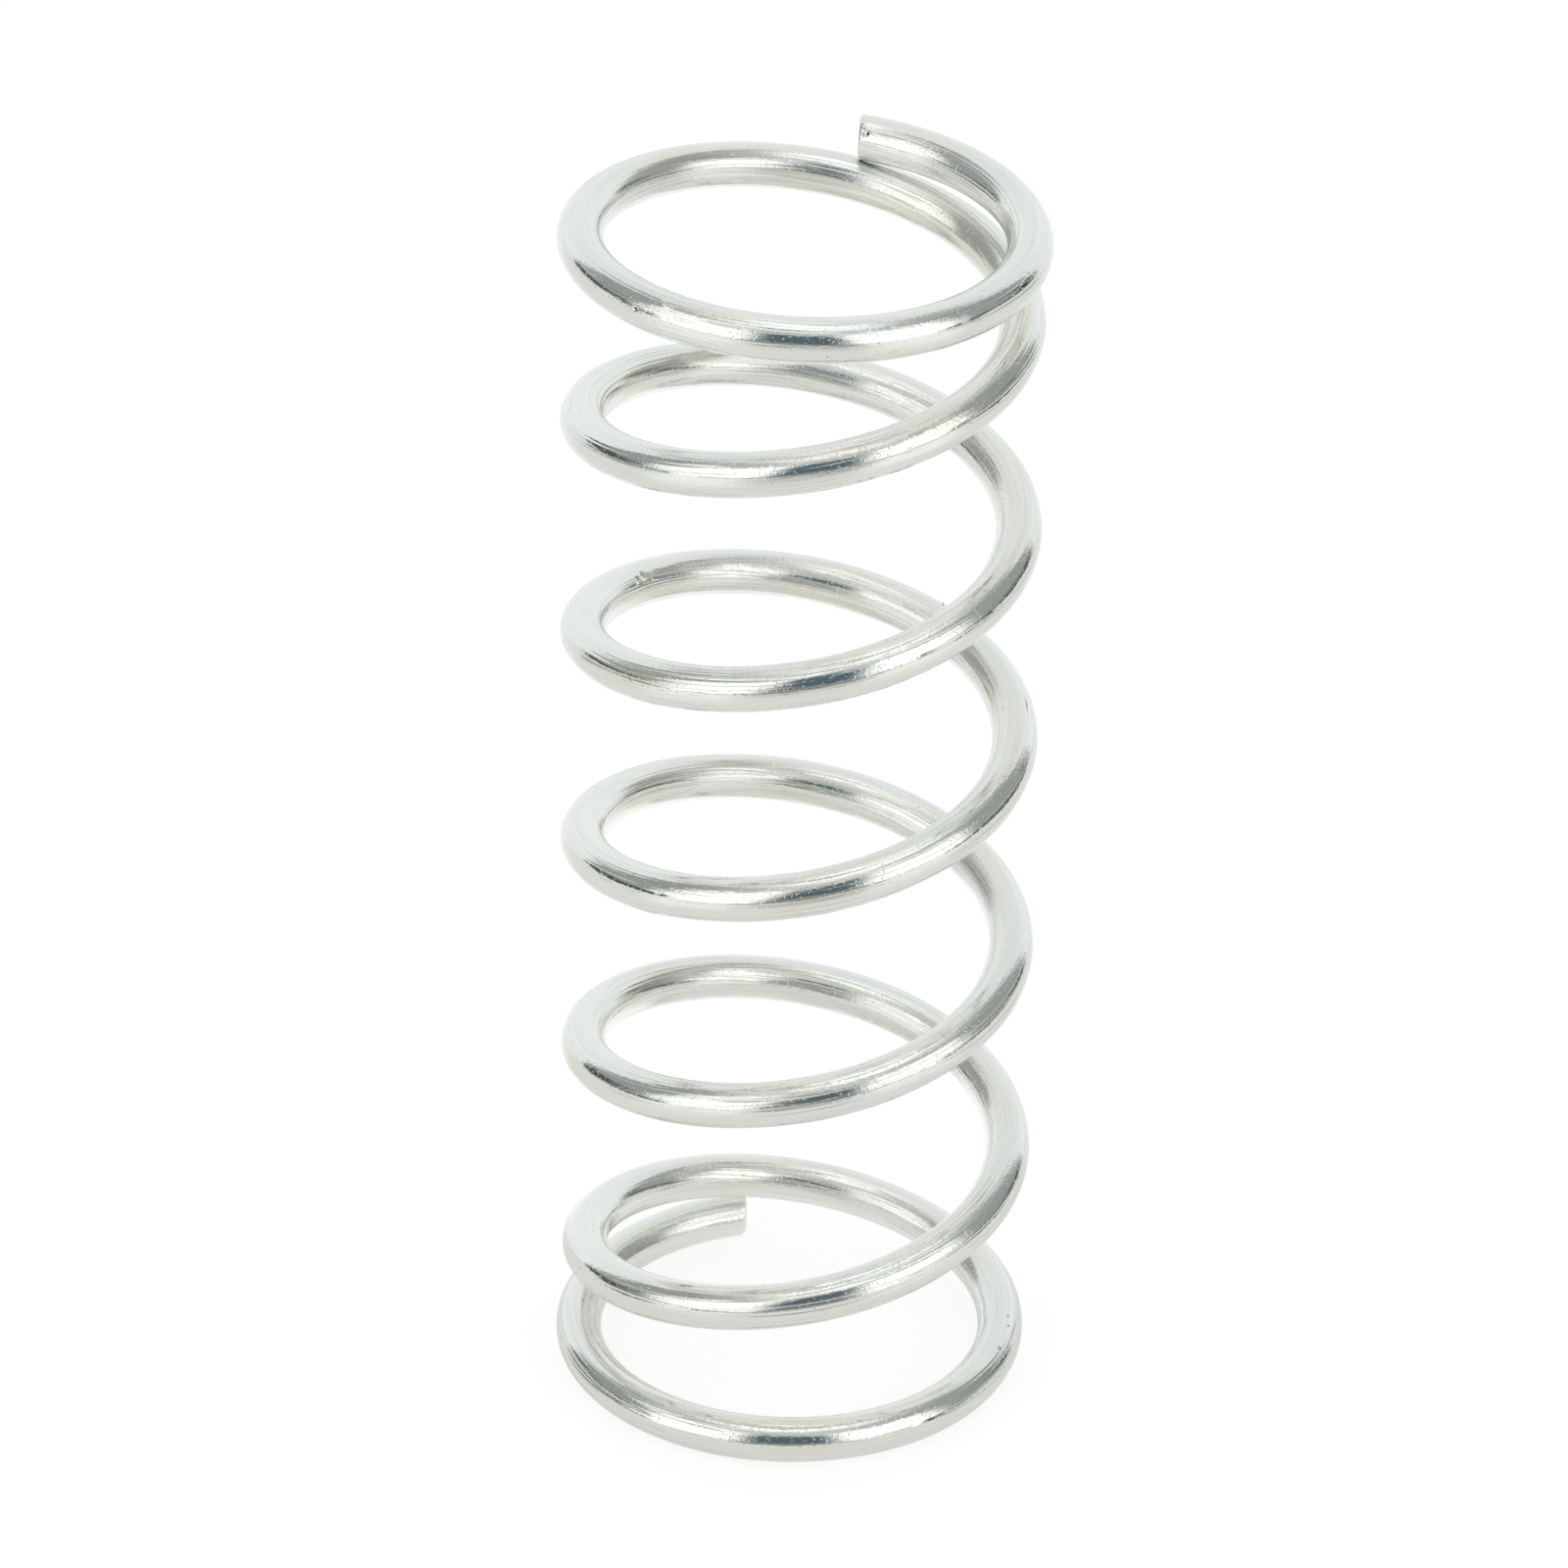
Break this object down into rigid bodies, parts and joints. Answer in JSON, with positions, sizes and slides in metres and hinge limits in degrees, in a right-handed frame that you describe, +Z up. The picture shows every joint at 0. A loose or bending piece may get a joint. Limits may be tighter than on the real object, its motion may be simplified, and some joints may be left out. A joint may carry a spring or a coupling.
{
  "type": "trimmer head spring",
  "caption": "Helical compression spring of round zinc-plated wire, with closed, unground ends, for the line head of a trimmer.",
  "frame": {"origin": "under the coil's centre, on the plane that the bottom turn stands on", "axes": "+Z up along the coil's axis, -Y towards the side that the picture shows, +X to its right"},
  "size_m": [0.0215, 0.0212, 0.0577],
  "materials": {
    "zinc_plated_wire": "bright zinc plating over drawn wire"
  },
  "bodies": {
    "root": {"spring_wire": "zinc_plated_wire"}
  },
  "joints": []
}
